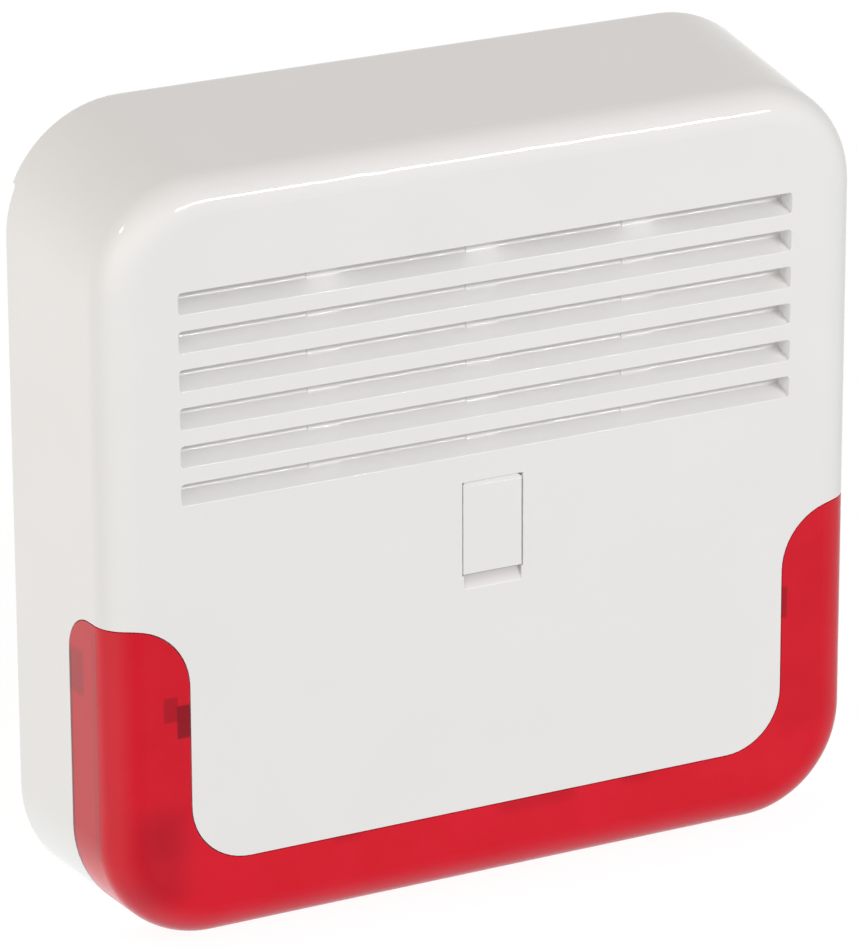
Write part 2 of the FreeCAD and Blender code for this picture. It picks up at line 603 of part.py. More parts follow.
def back_plate():
    plate = prism_y(plate_outline(0), -PLATE_THICK, 0)
    rim = prism_y(plate_outline(0), RIM_Y, -1).cut(prism_y(plate_outline(RIM_THICK), RIM_Y - 1, 0))
    shapes = [plate, rim] + hooks() + stiffening_ribs() + battery_ledges()
    shapes.append(rod_y(0, SCREW_Z, POST_R, POST_Y, -2))
    for angle in range(0, 360, 90):
        gusset = box(POST_R - 1, POST_R + 5, -24, -2, SCREW_Z - 0.9, SCREW_Z + 0.9)
        gusset.rotate(V(0, 0, SCREW_Z), V(0, 1, 0), angle + 45)
        shapes.append(gusset)
    shapes += [rod_y(x, z, 3.5, BOARD_Y, -2) for x, z in BOARD_HOLES]
    shapes += [rod_y(x, z, 5.0, GUARD_FOOT_Y, -2) for x, z in GUARD_FEET]
    shapes += [rod_y(x, z, 3.4, -8, -2) for x, z in SOUNDER_EARS]
    shapes += [rod_y(x, z, 3.2, STROBE_Y + 2, -2) for x, z in STROBE_POSTS]
    shapes += [rod_y(STRAP_X, z, 4.5, STRAP_FOOT_Y, -2) for z in STRAP_FEET_Z]
    shapes += [rod_y(x, z, 7.0, -5.0, -2) for x, z in WALL_HOLES]
    shapes.append(ring_y(CABLE_X, CABLE_Z, CABLE_R + 2.2, CABLE_R, -6.0, -1.5))
    shapes += level_cradle()
    plate = fuse(shapes)
    cutters = [rod_y(x, z, WALL_HOLE_R, -10, 1) for x, z in WALL_HOLES]
    cutters.append(rod_y(CABLE_X, CABLE_Z, CABLE_R, -10, 1))
    cutters.append(rod_y(0, SCREW_Z, INSERT_R, POST_Y - 1, POST_Y + INSERT_LENGTH))
    cutters.append(rod_y(0, SCREW_Z, SCREW_R + 0.6, POST_Y, POST_Y + INSERT_LENGTH + 5))
    cutters += [rod_y(x, z, 1.5, BOARD_Y - 1, -3) for x, z in BOARD_HOLES]
    cutters += [rod_y(x, z, 1.8, GUARD_FOOT_Y - 1, -2) for x, z in GUARD_FEET]
    cutters += [rod_y(x, z, 1.5, -9, -2.5) for x, z in SOUNDER_EARS]
    cutters += [rod_y(x, z, 1.3, STROBE_Y, STROBE_Y + 12) for x, z in STROBE_POSTS]
    cutters += [rod_y(STRAP_X, z, 1.8, STRAP_FOOT_Y - 1, -3) for z in STRAP_FEET_Z]
    cutters.append(rod_y(TEAR_X, TEAR_Z, 3.0, -10, 1))
    return plate.cut(cutters)


def cable_grommet():
    """Rubber collar that lines the cable entry."""
    profile = [(CABLE_BORE_R, -8.0), (CABLE_R + 1.6, -8.0), (CABLE_R + 1.6, -6.0),
               (CABLE_R, -6.0), (CABLE_R, -0.4), (CABLE_BORE_R, -0.4)]
    return turned_y(profile, CABLE_X, CABLE_Z)


def thread_insert():
    return ring_y(0, SCREW_Z, INSERT_R, SCREW_R + RUNNING, POST_Y, POST_Y + INSERT_LENGTH)


# -------------------------------------------------------------------- sounder

def sounder_housing():
    """Cup that holds the piezo disc, with three screwed ears."""
    profile = [(0, -10.4), (SOUNDER_R - 2.4, -10.4), (SOUNDER_R - 2.4, -30), (SOUNDER_R, -30),
               (SOUNDER_R, -8), (0, -8)]
    shapes = [turned_y(profile, 0, SOUNDER_Z)]
    for x, z in SOUNDER_EARS:
        shapes.append(rod_y(x, z, 4.5, -10.4, -8))
    shapes.append(ring_y(0, SOUNDER_Z, 29, 26, -15, -10))
    body = fuse(shapes)
    return body.cut([rod_y(x, z, 1.5, -12, -7) for x, z in SOUNDER_EARS])


def sounder_horn():
    """Flared front of the sounder with a flange that caps the housing."""
    profile = [(20, -18), (21.8, -18), (24, -26), (30, -34), (40, -43.2), (46, -43.2), (46, -45),
               (39.2, -45), (28.6, -35), (22.4, -27), (20, -20)]
    outside = [(24.5, -30.0), (46, -30.0), (46, -31.8), (27.2, -31.8)]
    wall = [(44.3, -45), (46, -45), (46, -30), (44.3, -30)]
    rings = [turned_y(p, 0, SOUNDER_Z) for p in (profile, outside, wall)]
    return fuse(rings)


def phase_plug():
    """Bullet in the horn's mouth on three spokes that sit on its flange."""
    profile = [(0, -22), (9, -26), (13, -33), (12, -41), (9, -45), (6, -46.6), (0, -47.2)]
    shapes = [turned_y(profile, 0, SOUNDER_Z)]
    for angle in (90, 210, 330):
        spoke = box(6, 43, -46.6, -45, SOUNDER_Z - 1.6, SOUNDER_Z + 1.6)
        spoke.rotate(V(0, 0, SOUNDER_Z), V(0, 1, 0), angle)
        shapes.append(spoke)
    return fuse(shapes)


def piezo_disc():
    return rod_y(0, SOUNDER_Z, 27.5, -15.4, -15)


def piezo_ceramic():
    return rod_y(0, SOUNDER_Z, 17.5, -15.8, -15.4)


def sounder_screws():
    return Part.makeCompound([pan_screw(x, z, -10.4, -4) for x, z in SOUNDER_EARS])


def sounder_guard():
    """Perforated steel channel over the sounder, on four feet."""
    x = GUARD_HALF
    z0, z1 = GUARD_Z
    shapes = [box(-x, x, GUARD_Y, GUARD_Y + SHEET, z0, z1)]
    for side in (-1, 1):
        a, b = sorted((side * x, side * (x - SHEET)))
        shapes.append(box(a, b, GUARD_Y, GUARD_FOOT_Y, z0, z1))
        a, b = sorted((side * (x - SHEET), side * (x + 13)))
        for foot in (z0 + 16, z1 - 16):
            shapes.append(box(a, b, GUARD_FOOT_Y - SHEET, GUARD_FOOT_Y, foot - 9, foot + 9))
    body = fuse(shapes)
    holes = [rod_y(hx, hz, 1.8, GUARD_FOOT_Y - 3, GUARD_FOOT_Y + 1) for hx, hz in GUARD_FEET]
    pitch = 8.0
    for row in range(-5, 6):
        for column in range(-6, 7):
            hx = (column + 0.5 * (row % 2)) * pitch
            hz = row * pitch * math.sqrt(3) / 2
            if math.hypot(hx, hz) < 41:
                holes.append(rod_y(hx, SOUNDER_Z + hz, 2.5, GUARD_Y - 1, GUARD_Y + 2))
    return body.cut(holes)


def guard_screws():
    seat = GUARD_FOOT_Y - SHEET
    return Part.makeCompound([pan_screw(x, z, seat, -3, 1.75, 3.6, 2.2) for x, z in GUARD_FEET])


# ----------------------------------------------------------------- main board

BOARD_FACE = BOARD_Y - BOARD_THICK
TERMINAL_X = (-83.5, -43.5)
TERMINAL_Z = (-30.0, -21.0)
TERMINAL_WAYS = 8
TERMINAL_SCREW_Z = TERMINAL_Z[0] + 3.6
CAPACITORS = ((-79.0, -85.0, 5.0, 17.0), (-67.5, -85.0, 5.0, 17.0), (-28.0, -74.0, 4.0, 12.0))
CHIPS = ((-74.0, -52.0, 10.0, 10.0), (-56.0, -52.0, 5.0, 6.2), (-56.0, -64.0, 5.0, 6.2))
LEAD_PITCH = 1.27


def main_board():
    corners = block_corners(BOARD_X[0], BOARD_X[1], BOARD_Z[0], BOARD_Z[1], 2)
    board = prism_y(corners, BOARD_FACE, BOARD_Y)
    return board.cut([rod_y(x, z, 1.6, BOARD_FACE - 1, BOARD_Y + 1) for x, z in BOARD_HOLES])


def board_screws():
    return Part.makeCompound([pan_screw(x, z, BOARD_FACE, -4) for x, z in BOARD_HOLES])


def terminal_centres():
    pitch = (TERMINAL_X[1] - TERMINAL_X[0]) / TERMINAL_WAYS
    return [TERMINAL_X[0] + (i + 0.5) * pitch for i in range(TERMINAL_WAYS)]


def terminal_block():
    """Stepped block with a wire hole on top and a screw well in front of each way."""
    top = BOARD_FACE - 10
    body = prism_x([(BOARD_FACE, TERMINAL_Z[0], 0), (BOARD_FACE, TERMINAL_Z[1], 0),
                    (top + 3, TERMINAL_Z[1], 0), (top, TERMINAL_Z[1] - 2.4, 0), (top, TERMINAL_Z[0], 0)],
                   TERMINAL_X[0], TERMINAL_X[1])
    cutters = []
    for x in terminal_centres():
        cutters.append(box(x - 1.7, x + 1.7, BOARD_FACE - 5.4, BOARD_FACE - 1.6,
                           TERMINAL_Z[1] - 4, TERMINAL_Z[1] + 1))
        cutters.append(rod_y(x, TERMINAL_SCREW_Z, 1.9, top - 1, top + 4.5))
    return body.cut(cutters)


def terminal_screws():
    seat = BOARD_FACE - 6.4
    screws = []
    for x in terminal_centres():
        head = rod_y(x, TERMINAL_SCREW_Z, 1.8, seat - 1.6, seat + 0.9)
        slot = box(x - 2, x + 2, seat - 2, seat - 0.8, TERMINAL_SCREW_Z - 0.3, TERMINAL_SCREW_Z + 0.3)
        screws.append(head.cut(slot))
    return Part.makeCompound(screws)


def relay():
    body = box(-40, -20.5, BOARD_FACE - 15.5, BOARD_FACE, -62, -46.5)
    return body.makeFillet(0.8, [e for e in body.Edges if e.BoundBox.YMin < BOARD_FACE - 15])


def capacitors():
    """Three electrolytic cans standing on the board."""
    cans = []
    for x, z, radius, height in CAPACITORS:
        top = BOARD_FACE - height
        profile = [(0, BOARD_FACE), (radius, BOARD_FACE), (radius, BOARD_FACE - 1.6),
                   (radius - 0.5, BOARD_FACE - 2.2), (radius, BOARD_FACE - 2.8),
                   (radius, top + 0.6), (radius - 0.6, top), (0, top)]
        cans.append(turned_y(profile, x, z))
    return Part.makeCompound(cans)


def step_up_coil():
    """Ferrite frame and bobbin of the sounder's transformer."""
    frame = box(-60, -44, BOARD_FACE - 12, BOARD_FACE - 2.5, -88, -74)
    window = box(-56.5, -47.5, BOARD_FACE - 13, BOARD_FACE, -85.5, -76.5)
    bobbin = box(-56.5, -47.5, BOARD_FACE - 11, BOARD_FACE, -85.5, -76.5)
    foot = box(-59, -45, BOARD_FACE - 2.5, BOARD_FACE, -87.5, -74.5)
    return frame.cut(window), bobbin.fuse(foot)


def chips():
    """Controller and two driver packages."""
    bodies = []
    for x, z, wide, high in CHIPS:
        shapes = [box(x - wide / 2, x + wide / 2, BOARD_FACE - 1.7, BOARD_FACE - 0.1,
                      z - high / 2, z + high / 2)]
        count = int((high - 1) / LEAD_PITCH)
        for k in range(count):
            lead_z = z + (k - (count - 1) / 2) * LEAD_PITCH
            for side in (-1, 1):
                a, b = sorted((x + side * (wide / 2 - 0.2), x + side * (wide / 2 + 1.2)))
                shapes.append(box(a, b, BOARD_FACE - 0.5, BOARD_FACE, lead_z - 0.25, lead_z + 0.25))
        bodies.append(fuse(shapes))
    return Part.makeCompound(bodies)


def plug_headers():
    """White plug housings for the battery, sounder and strobe leads."""
    return Part.makeCompound([box(x - 4, x + 4, BOARD_FACE - 9, BOARD_FACE, z - 2.9, z + 2.9)
                              for x, z in ((-24.0, -36.0), (-38.0, -24.5), (-86.0, -66.0))])


# -------------------------------------------------------------------- battery

def battery():
    x0, x1 = BATTERY_X
    z0, z1 = BATTERY_Z
    body = box(x0, x1, BATTERY_Y[0], BATTERY_Y[1], z0, z1)
    body = body.makeFillet(1.2, body.Edges)
    groove_z = z1 - 9
    outer = box(x0 - 1, x1 + 1, BATTERY_Y[0] - 1, BATTERY_Y[1] + 1, groove_z, groove_z + 0.7)
    inner = box(x0 + 0.5, x1 - 0.5, BATTERY_Y[0] + 0.5, BATTERY_Y[1] - 0.5, groove_z - 1, groove_z + 2)
    return body.cut(outer.cut(inner))


TAB_X = (BATTERY_X[0] + 8.0, BATTERY_X[0] + 34.0)
TAB_Y = -30.0


def battery_tabs():
    tabs = []
    for x in TAB_X:
        tab = box(x - 2.4, x + 2.4, TAB_Y - 0.4, TAB_Y + 0.4, BATTERY_Z[1], BATTERY_Z[1] + 6.5)
        tabs.append(tab.cut(rod_y(x, BATTERY_Z[1] + 4.4, 0.8, TAB_Y - 1, TAB_Y + 1)))
    return Part.makeCompound(tabs)


def battery_strap():
    """Steel band over the battery, with a foot at each end."""
    x0 = STRAP_X - STRAP_HALF
    x1 = STRAP_X + STRAP_HALF
    low = BATTERY_Z[0] - 0.2
    high = BATTERY_Z[1] + 0.2
    front = BATTERY_Y[0] - 0.1
    outer = box(x0, x1, front - STRAP_THICK, STRAP_FOOT_Y, low - STRAP_THICK, high + STRAP_THICK)
    inner = box(x0 - 1, x1 + 1, front, STRAP_FOOT_Y + 1, low, high)
    band = outer.cut(inner)
    foot_y = STRAP_FOOT_Y - STRAP_THICK
    feet = [box(x0, x1, foot_y, STRAP_FOOT_Y, low - 10.3, low),
            box(x0, x1, foot_y, STRAP_FOOT_Y, high, high + 10.3)]
    body = fuse([band] + feet)
    return body.cut([rod_y(STRAP_X, z, 1.8, -20, 0) for z in STRAP_FEET_Z])


def strap_screws():
    seat = STRAP_FOOT_Y - STRAP_THICK
    return Part.makeCompound([pan_screw(STRAP_X, z, seat, -5, 1.75, 3.4, 2.0) for z in STRAP_FEET_Z])


# --------------------------------------------------------------------- strobe

def strobe_reflector():
    """White U-shaped tray with a wall along each edge."""
    outer = u_corners(STROBE_OUTER_X, STROBE_INNER_X, STROBE_TOP_Z,
                      STROBE_INNER_Z, STROBE_OUTER_Z, STROBE_OUTER_R, STROBE_INNER_R)
    w = STROBE_WALL
    inner = u_corners(STROBE_OUTER_X - w, STROBE_INNER_X + w, STROBE_TOP_Z - w,
                      STROBE_INNER_Z - w, STROBE_OUTER_Z + w, STROBE_OUTER_R - w, STROBE_INNER_R + w)
    tray = prism_y(outer, STROBE_Y - 8, STROBE_Y + 2)
    tray = tray.cut(prism_y(inner, STROBE_Y - 9, STROBE_Y))
    return tray.cut([rod_y(x, z, 1.6, STROBE_Y - 1, STROBE_Y + 3) for x, z in STROBE_POSTS])


def strobe_board():
    w = STROBE_WALL + 0.4
    corners = u_corners(STROBE_OUTER_X - w, STROBE_INNER_X + w, STROBE_TOP_Z - w,
                        STROBE_INNER_Z - w, STROBE_OUTER_Z + w, STROBE_OUTER_R - w, STROBE_INNER_R + w)
    board = prism_y(corners, STROBE_Y - BOARD_THICK, STROBE_Y)
    return board.cut([rod_y(x, z, 1.6, STROBE_Y - 3, STROBE_Y + 1) for x, z in STROBE_POSTS])


LED_SPOTS = [(side * 116.5, z) for side in (-1, 1) for z in (-45.0, -58.0, -71.0, -97.0)]
LED_SPOTS += [(x, -113.0) for x in (-96.0, -80.0, -48.0, -32.0, -16.0, 16.0, 32.0, 48.0, 80.0, 96.0)]


def strobe_leds():
    face = STROBE_Y - BOARD_THICK
    return Part.makeCompound([rod_y(x, z, 3.4, face - 1.4, face) for x, z in LED_SPOTS])


def led_domes():
    face = STROBE_Y - BOARD_THICK - 1.4
    domes = []
    for x, z in LED_SPOTS:
        ball = Part.makeSphere(2.6, V(x, face, z))
        domes.append(ball.common(box(x - 4, x + 4, face - 4, face, z - 4, z + 4)))
    return Part.makeCompound(domes)


def strobe_screws():
    face = STROBE_Y - BOARD_THICK
    return Part.makeCompound([pan_screw(x, z, face, STROBE_Y + 10, 1.25, 2.5, 1.6)
                              for x, z in STROBE_POSTS])


# ------------------------------------------------------- tamper switches, level

PLUNGER_R = 2.0
SLEEVE_R = 4.5


def tamper_sleeve():
    """Tower on the base that guides the cover plunger over the switch."""
    body = rod_y(TAMPER_X, TAMPER_Z, SLEEVE_R, -40, -PLATE_THICK)
    foot = box(TAMPER_X - 7, TAMPER_X + 7, -5.0, -PLATE_THICK, TAMPER_Z - 5.5, TAMPER_Z + 5.5)
    bore = rod_y(TAMPER_X, TAMPER_Z, PLUNGER_R + RUNNING, -41, -12)
    well = rod_y(TAMPER_X, TAMPER_Z, 3.3, -37.5, -12)
    return fuse([body, foot]).cut([bore, well])


def tamper_plunger():
    stem = rod_y(TAMPER_X, TAMPER_Z, PLUNGER_R, TAMPER_TIP_Y + 0.6, -16)
    collar = rod_y(TAMPER_X, TAMPER_Z, 2.9, -31.0, -29.5)
    tip = Part.makeSphere(PLUNGER_R, V(TAMPER_X, TAMPER_TIP_Y + PLUNGER_R, TAMPER_Z))
    return fuse([stem, collar, tip])


def coil_spring(x, z, radius, wire, y0, y1, turns):
    """Helical spring along Y between two planes."""
    pitch = (y1 - y0 - wire) / turns
    helix = Part.makeHelix(pitch, y1 - y0 - wire, radius)
    start = V(radius, 0, 0)
    circle = Part.Wire(Part.makeCircle(wire / 2, start, V(0, 1, 0)))
    coil = Part.Wire(helix.Edges).makePipeShell([circle], True, True)
    coil.rotate(V(0, 0, 0), V(1, 0, 0), -90)
    coil.translate(V(x, y0 + wire / 2, z))
    return coil


def tamper_spring():
    return coil_spring(TAMPER_X, TAMPER_Z, 2.65, 0.5, -29.3, -12.3, 8)


def tear_housing():
    """Box on the base over the plunger that senses the wall."""
    body = box(TEAR_X - 8, TEAR_X + 8, -20, -PLATE_THICK, TEAR_Z - 6.5, TEAR_Z + 6.5)
    well = rod_y(TEAR_X, TEAR_Z, 4.2, -18, -2)
    return body.cut(well)


def tear_plunger():
    """Button that rests flush with the wall face."""
    stem = rod_y(TEAR_X, TEAR_Z, 3.0 - RUNNING, -7.0, 0)
    collar = rod_y(TEAR_X, TEAR_Z, 4.0, -8.4, -7.0)
    return fuse([stem, collar])


def tear_spring():
    return coil_spring(TEAR_X, TEAR_Z, 3.2, 0.6, -17.8, -8.6, 5)


def level_cradle():
    """Two clips on the base that hold the level vial."""
    shapes = []
    for x in (LEVEL_X - 10, LEVEL_X + 7):
        clip = box(x, x + 3, -12.5, -2, LEVEL_Z - 6, LEVEL_Z + 6)
        shapes.append(clip.cut(rod_x(-9.5, LEVEL_Z, 4.5, x - 1, x + 4)))
    return shapes


def level_bore():
    return rod_x(-9.5, LEVEL_Z, 3.4, LEVEL_X - LEVEL_HALF + 1.5, LEVEL_X + LEVEL_HALF - 1.5)


def level_vial():
    vial = rod_x(-9.5, LEVEL_Z, 4.5, LEVEL_X - LEVEL_HALF, LEVEL_X + LEVEL_HALF)
    return vial.cut(level_bore())


def level_liquid():
    bubble = Part.makeSphere(2.6, V(LEVEL_X, -9.5, LEVEL_Z))
    return level_bore().cut(bubble)


# -------------------------------------------------------------- internal leads

LEAD_R = 0.8


def lead(points, radius=LEAD_R):
    """Round wire along straight runs joined by tangent arcs."""
    route = [V(*p) for p in points]
    edges = []
    start = route[0]
    for i in range(1, len(route) - 1):
        corner = route[i]
        a = route[i - 1] - corner
        b = route[i + 1] - corner
        half = a.getAngle(b) / 2
        reach = 0.45 * min(a.Length, b.Length)
        bend = reach * math.tan(half)
        first = corner + a.normalize() * reach
        last = corner + b.normalize() * reach
        middle = corner + (a + b).normalize() * (bend / math.sin(half) - bend)
        edges.append(Part.LineSegment(start, first).toShape())
        edges.append(Part.Arc(first, middle, last).toShape())
        start = last
    edges.append(Part.LineSegment(start, route[-1]).toShape())
    spine = Part.Wire(edges)
    section = Part.Wire(Part.makeCircle(radius, route[0], route[1] - route[0]))
    return spine.makePipeShell([section], True, False)


def battery_lead(offset, tab_x):
    """From a plug on the board, under the post, to a battery tab."""
    x = -23.0
    z = -35.0 - offset
    rise = -30.5 + 1.6 * offset
    front = -36.5 + 2 * offset
    return lead([(x, BOARD_FACE - 9, z), (x, rise, z), (x + 9, front, z + 3),
                 (6.0 - offset, front, -30.5 - offset), (tab_x - 8, front + 1, -29.0 - offset / 2),
                 (tab_x, TAB_Y - 1.5, -31.5), (tab_x, TAB_Y - 1.5, -37.0)])


def sounder_lead(offset):
    """From the housing's side down to the board's top plug."""
    x = -36.0 - offset
    return lead([(-24.0 - offset, -24.0, 17.5), (-24.0 - offset, -27.0, 10.0),
                 (-30.0 - offset, -27.5, 0.0), (x, -28.0, -12.0), (x, -28.5, -21.5),
                 (x, -26.0, -24.5), (x, BOARD_FACE - 9, -24.5)])


def strobe_lead(offset):
    """From the board's side plug to the strobe board's leg."""
    z = -64.5 - offset
    return lead([(-88.0, BOARD_FACE - 9, z), (-88.0, -25.5, z), (-94.0, -34.0, z - 1),
                 (-103.0, -41.5, z - 1), (-110.5, -41.5, z), (-113.5, -37.0, z), (-113.5, -31.6, z)])


os.makedirs("parts", exist_ok=True)

ferrite, bobbin = step_up_coil()
NODES = {
    "front_cover": front_cover(),
    "strobe_lens": strobe_lens(),
    "louvre_baffle": louvre_baffle(),
    "baffle_screws": baffle_screws(),
    "screw_flap": screw_flap(),
    "cover_screw": cover_screw(),
    "screw_ring": screw_ring(),
    "back_plate": back_plate(),
    "cable_grommet": cable_grommet(),
    "thread_insert": thread_insert(),
    "sounder_housing": sounder_housing(),
    "sounder_horn": sounder_horn(),
    "phase_plug": phase_plug(),
    "piezo_disc": piezo_disc(),
    "piezo_ceramic": piezo_ceramic(),
    "sounder_screws": sounder_screws(),
    "sounder_guard": sounder_guard(),
    "guard_screws": guard_screws(),
    "main_board": main_board(),
    "board_screws": board_screws(),
    "terminal_block": terminal_block(),
    "terminal_screws": terminal_screws(),
    "relay": relay(),
    "capacitors": capacitors(),
    "coil_core": ferrite,
    "coil_bobbin": bobbin,
    "chips": chips(),
    "plug_headers": plug_headers(),
    "battery": battery(),
    "battery_tabs": battery_tabs(),
    "battery_strap": battery_strap(),
    "strap_screws": strap_screws(),
    "strobe_reflector": strobe_reflector(),
    "strobe_board": strobe_board(),
    "strobe_leds": strobe_leds(),
    "led_domes": led_domes(),
    "strobe_screws": strobe_screws(),
    "tamper_sleeve": tamper_sleeve(),
    "tamper_plunger": tamper_plunger(),
    "tamper_spring": tamper_spring(),
    "tear_housing": tear_housing(),
    "tear_plunger": tear_plunger(),
    "tear_spring": tear_spring(),
    "level_vial": level_vial(),
    "level_liquid": level_liquid(),
    "battery_lead_red": battery_lead(0.0, TAB_X[1]),
    "battery_lead_black": battery_lead(2.4, TAB_X[0]),
    "sounder_leads": Part.makeCompound([sounder_lead(0.0), sounder_lead(2.4)]),
    "strobe_leads": Part.makeCompound([strobe_lead(0.0), strobe_lead(2.4)]),
}

for name, shape in NODES.items():
    save(name, shape)
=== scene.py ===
import json
import math

import bmesh
import bpy
from mathutils import Matrix, Vector


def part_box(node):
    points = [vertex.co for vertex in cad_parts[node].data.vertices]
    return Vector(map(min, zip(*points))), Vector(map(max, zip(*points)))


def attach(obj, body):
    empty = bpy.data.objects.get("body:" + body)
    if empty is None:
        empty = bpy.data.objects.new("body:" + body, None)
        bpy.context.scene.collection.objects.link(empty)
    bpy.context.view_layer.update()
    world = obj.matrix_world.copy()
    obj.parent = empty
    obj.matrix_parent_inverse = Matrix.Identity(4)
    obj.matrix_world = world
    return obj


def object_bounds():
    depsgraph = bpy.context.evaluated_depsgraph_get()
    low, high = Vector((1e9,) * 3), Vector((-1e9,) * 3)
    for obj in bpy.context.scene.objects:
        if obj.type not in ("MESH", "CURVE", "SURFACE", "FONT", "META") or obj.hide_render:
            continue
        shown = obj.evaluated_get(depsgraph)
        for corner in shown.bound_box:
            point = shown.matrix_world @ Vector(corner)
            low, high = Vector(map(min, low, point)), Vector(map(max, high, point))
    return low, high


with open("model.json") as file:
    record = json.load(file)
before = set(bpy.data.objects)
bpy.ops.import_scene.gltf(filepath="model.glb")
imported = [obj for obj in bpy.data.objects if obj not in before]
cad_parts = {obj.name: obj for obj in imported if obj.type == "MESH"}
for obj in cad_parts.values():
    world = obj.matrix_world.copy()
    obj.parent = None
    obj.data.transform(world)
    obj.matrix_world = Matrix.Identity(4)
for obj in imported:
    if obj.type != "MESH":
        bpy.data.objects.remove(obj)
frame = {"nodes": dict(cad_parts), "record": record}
bpy.context.view_layer.update()
cad_low, cad_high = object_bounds()

MM = 0.001


# ---------------------------------------------------------------- materials

# The part of its range that most of a noise lies in.
NOISE_LOW, NOISE_HIGH = 0.3, 0.7
PLASTIC_IOR = 1.5
ACRYLIC_IOR = 1.49
# Sizes in metres of the uneven tone, the uneven gloss and the grain of plastic.
TONE_SIZE, GLOSS_SIZE, GRAIN_SIZE = 0.03, 0.006, 0.00025
# The same of metal's tone, polish and scratches, and of a clear piece's tone and ripples.
METAL_TONE_SIZE, POLISH_SIZE, SCRATCH_SIZE = 0.0015, 0.0008, 0.0003
CLEAR_TONE_SIZE, RIPPLE_SIZE = 0.003, 0.002


class Shader:
    """A node material under construction, with short calls for the usual nodes."""

    def __init__(self, name):
        self.material = bpy.data.materials.new(name)
        self.material.use_nodes = True
        self.tree = self.material.node_tree
        self.tree.nodes.clear()
        output = self.add("ShaderNodeOutputMaterial")
        self.bsdf = self.add("ShaderNodeBsdfPrincipled")
        self.link(self.bsdf.outputs[0], output.inputs["Surface"])
        self.coords = self.add("ShaderNodeTexCoord").outputs["Object"]

    def add(self, kind, **settings):
        node = self.tree.nodes.new(kind)
        for key, value in settings.items():
            setattr(node, key, value)
        return node

    def link(self, source, target):
        self.tree.links.new(source, target)

    def feed(self, socket, value):
        if isinstance(value, bpy.types.NodeSocket):
            self.link(value, socket)
        else:
            socket.default_value = value

    def set(self, **values):
        """Principled inputs by name, with underscores for spaces."""
        for key, value in values.items():
            self.feed(self.bsdf.inputs[key.replace("_", " ")], value)

    def noise(self, size, detail, stretch=None):
        """Noise about 0.5 whose features are about size metres across."""
        node = self.add("ShaderNodeTexNoise")
        node.inputs["Scale"].default_value = 1.0 / size
        node.inputs["Detail"].default_value = detail
        vector = self.coords
        if stretch:
            mapping = self.add("ShaderNodeMapping")
            mapping.inputs["Scale"].default_value = stretch
            self.link(vector, mapping.inputs["Vector"])
            vector = mapping.outputs[0]
        self.link(vector, node.inputs["Vector"])
        return node.outputs["Fac"]

    def between(self, value, low, high, out_low=0.0, out_high=1.0):
        """A value's way from low to high as a smooth step from out_low to out_high."""
        node = self.add("ShaderNodeMapRange", interpolation_type="SMOOTHSTEP")
        self.feed(node.inputs["Value"], value)
        limits = {"From Min": low, "From Max": high, "To Min": out_low, "To Max": out_high}
        for key, number in limits.items():
            node.inputs[key].default_value = number
        return node.outputs[0]

    def uneven(self, size, low=0.0, high=1.0, detail=3.0, stretch=None):
        """Noise spread from low to high."""
        return self.between(self.noise(size, detail, stretch), NOISE_LOW, NOISE_HIGH, low, high)

    def math(self, operation, a, b):
        node = self.add("ShaderNodeMath", operation=operation)
        self.feed(node.inputs[0], a)
        self.feed(node.inputs[1], b)
        return node.outputs[0]

    def mix(self, factor, a, b):
        node = self.add("ShaderNodeMix", data_type="RGBA")
        self.feed(node.inputs[0], factor)
        for socket, colour in ((node.inputs[6], a), (node.inputs[7], b)):
            if isinstance(colour, bpy.types.NodeSocket):
                self.link(colour, socket)
            else:
                socket.default_value = (*colour, 1.0)
        return node.outputs[2]

    def axis(self, name):
        node = self.add("ShaderNodeSeparateXYZ")
        self.link(self.coords, node.inputs[0])
        return node.outputs[name]

    def within(self, low, high, soft):
        """1 inside the box between two corners and 0 outside, with soft edges, all in mm."""
        inside = None
        for name, a, b in zip("XYZ", low, high):
            place = self.axis(name)
            rise = self.between(place, (a - soft) * MM, (a + soft) * MM)
            fall = self.between(place, (b - soft) * MM, (b + soft) * MM, 1.0, 0.0)
            both = self.math("MULTIPLY", rise, fall)
            inside = both if inside is None else self.math("MULTIPLY", inside, both)
        return inside

    def bump(self, layers):
        """Bump from (height, depth in metres) pairs."""
        normal = None
        for height, depth in layers:
            node = self.add("ShaderNodeBump")
            node.inputs["Strength"].default_value = 1.0
            node.inputs["Distance"].default_value = depth
            self.link(height, node.inputs["Height"])
            if normal is not None:
                self.link(normal, node.inputs["Normal"])
            normal = node.outputs[0]
        self.link(normal, self.bsdf.inputs["Normal"])


def shades(colour, spread):
    """A darker and a lighter shade of a colour."""
    low = tuple(c * (1 - spread) for c in colour)
    high = tuple(min(c * (1 + spread), 1.0) for c in colour)
    return low, high


def plastic(name, colour, rough, spread=0.02, depth=2e-6):
    """Moulded plastic: uneven tone and gloss over a spark-eroded grain."""
    s = Shader(name)
    s.set(Base_Color=s.mix(s.uneven(TONE_SIZE), *shades(colour, spread)), IOR=PLASTIC_IOR)
    s.set(Roughness=s.uneven(GLOSS_SIZE, rough * 0.85, rough * 1.15))
    s.bump([(s.noise(GRAIN_SIZE, 2.0), depth)])
    return s.material


SHELL_WHITE = (0.865, 0.855, 0.845)
# The slats' white below is painted light: lighter than the shell, standing in for light falling
# into the slots.
SLAT_PAINTED_LIGHT = (0.945, 0.940, 0.935)
# The notch's grey below is painted shade, strongest right under the flap.
NOTCH_PAINTED_SHADE = (0.44, 0.41, 0.40)
# Boxes round the slats and the finger notch below the flap: low corner, high corner and edge
# softness, all in mm.
SLATS = ((-107.6, -67.35, 17.5), (107.6, -60.6, 86.6), 0.12)
NOTCH = ((-10.3, -67.42, -27.0), (10.3, -62.0, -21.9), 0.06)
# How strong the notch's painted shade is at two heights, which are in metres, and how much it adds
# to the roughness.
NOTCH_FOOT, NOTCH_TOP = -0.0270, -0.0215
SHADE_AT_FOOT, SHADE_AT_TOP = 0.10, 0.75
NOTCH_DULLNESS = 0.5


